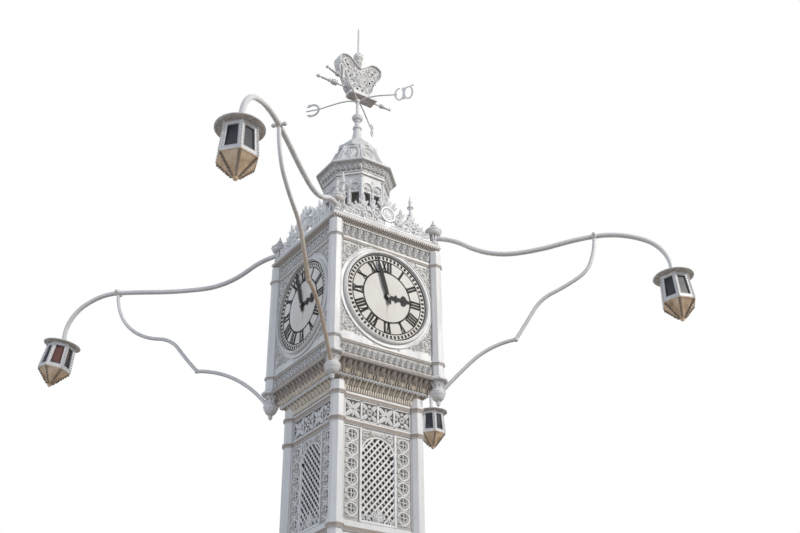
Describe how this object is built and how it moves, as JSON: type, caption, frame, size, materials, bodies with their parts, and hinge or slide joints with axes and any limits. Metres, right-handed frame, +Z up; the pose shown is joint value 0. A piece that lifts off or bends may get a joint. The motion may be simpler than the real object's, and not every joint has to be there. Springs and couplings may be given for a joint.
{
  "type": "clock tower",
  "caption": "White-painted cast-iron street clock tower with four round dials, lamp arms at the corners, an octagonal lantern and a crown weather vane.",
  "frame": {"origin": "centre of the underside of the stone step, on the ground", "axes": "+X to the right dial, -Y to the front dial, +Z up"},
  "size_m": [4.3891, 4.3142, 9.11],
  "materials": {
    "white_paint": "semi-gloss, weathered",
    "ochre_paint": "matt, weathered",
    "black_paint": "satin",
    "opal_glass": "opal",
    "lamp_glass": "dark, dusty",
    "granite": "dressed stone"
  },
  "bodies": {
    "tower": {"stone_step": "granite", "pedestal": "white_paint", "pedestal_cap": "white_paint", "lower_stage_wall": "white_paint", "lower_stage_panels": "white_paint", "shaft_columns": "white_paint", "shaft_bands": "white_paint", "lattice_stage_wall": "white_paint", "arch_grilles": "white_paint", "shaft_frieze": "white_paint", "corbel": "white_paint", "lower_cornice": "white_paint", "head_wall": "white_paint", "head_columns": "white_paint", "dial_bands": "white_paint", "dial_glasses": "opal_glass", "dial_bezels": "white_paint", "dial_arbors": "white_paint", "upper_cornice": "white_paint", "roof": "white_paint", "cresting": "white_paint", "corner_finials": "white_paint", "corner_pendants": "white_paint", "lamp_pipes": "white_paint", "lamp_braces": "white_paint", "lamp_caps": "white_paint", "lamp_frames": "white_paint", "lamp_panes": "lamp_glass", "lamp_bottoms": "ochre_paint", "lantern_drum": "white_paint", "lantern_cornice": "white_paint", "dome": "white_paint", "mast": "white_paint", "cardinal_arms": "white_paint"},
    "minute_front": {"minute_hand_front": "black_paint"},
    "hour_front": {"hour_hand_front": "black_paint"},
    "minute_right": {"minute_hand_right": "black_paint"},
    "hour_right": {"hour_hand_right": "black_paint"},
    "minute_back": {"minute_hand_back": "black_paint"},
    "hour_back": {"hour_hand_back": "black_paint"},
    "minute_left": {"minute_hand_left": "black_paint"},
    "hour_left": {"hour_hand_left": "black_paint"},
    "vane": {"vane_box": "white_paint", "vane_crown": "white_paint", "vane_tracery": "white_paint"}
  },
  "joints": [
    {"name": "minute_front_turn", "type": "hinge", "parent": "tower", "child": "minute_front", "pos_m": [0, -0.53, 5.778], "axis": [0, -1, 0], "continuous": true},
    {"name": "hour_front_turn", "type": "hinge", "parent": "tower", "child": "hour_front", "pos_m": [0, -0.53, 5.778], "axis": [0, -1, 0], "continuous": true},
    {"name": "minute_right_turn", "type": "hinge", "parent": "tower", "child": "minute_right", "pos_m": [0.53, 0, 5.778], "axis": [1, 0, 0], "continuous": true},
    {"name": "hour_right_turn", "type": "hinge", "parent": "tower", "child": "hour_right", "pos_m": [0.53, 0, 5.778], "axis": [1, 0, 0], "continuous": true},
    {"name": "minute_back_turn", "type": "hinge", "parent": "tower", "child": "minute_back", "pos_m": [0, 0.53, 5.778], "axis": [0, 1, 0], "continuous": true},
    {"name": "hour_back_turn", "type": "hinge", "parent": "tower", "child": "hour_back", "pos_m": [0, 0.53, 5.778], "axis": [0, 1, 0], "continuous": true},
    {"name": "minute_left_turn", "type": "hinge", "parent": "tower", "child": "minute_left", "pos_m": [-0.53, 0, 5.778], "axis": [-1, 0, 0], "continuous": true},
    {"name": "hour_left_turn", "type": "hinge", "parent": "tower", "child": "hour_left", "pos_m": [-0.53, 0, 5.778], "axis": [-1, 0, 0], "continuous": true},
    {"name": "vane_turn", "type": "hinge", "parent": "tower", "child": "vane", "pos_m": [0, 0, 8.25], "axis": [0, 0, 1], "continuous": true}
  ],
  "couplings": [
    {"joint": "hour_front_turn", "follows": "minute_front_turn", "ratio": 0.083333},
    {"joint": "minute_right_turn", "follows": "minute_front_turn", "ratio": 1},
    {"joint": "hour_right_turn", "follows": "minute_front_turn", "ratio": 0.083333},
    {"joint": "minute_back_turn", "follows": "minute_front_turn", "ratio": 1},
    {"joint": "hour_back_turn", "follows": "minute_front_turn", "ratio": 0.083333},
    {"joint": "minute_left_turn", "follows": "minute_front_turn", "ratio": 1},
    {"joint": "hour_left_turn", "follows": "minute_front_turn", "ratio": 0.083333}
  ]
}
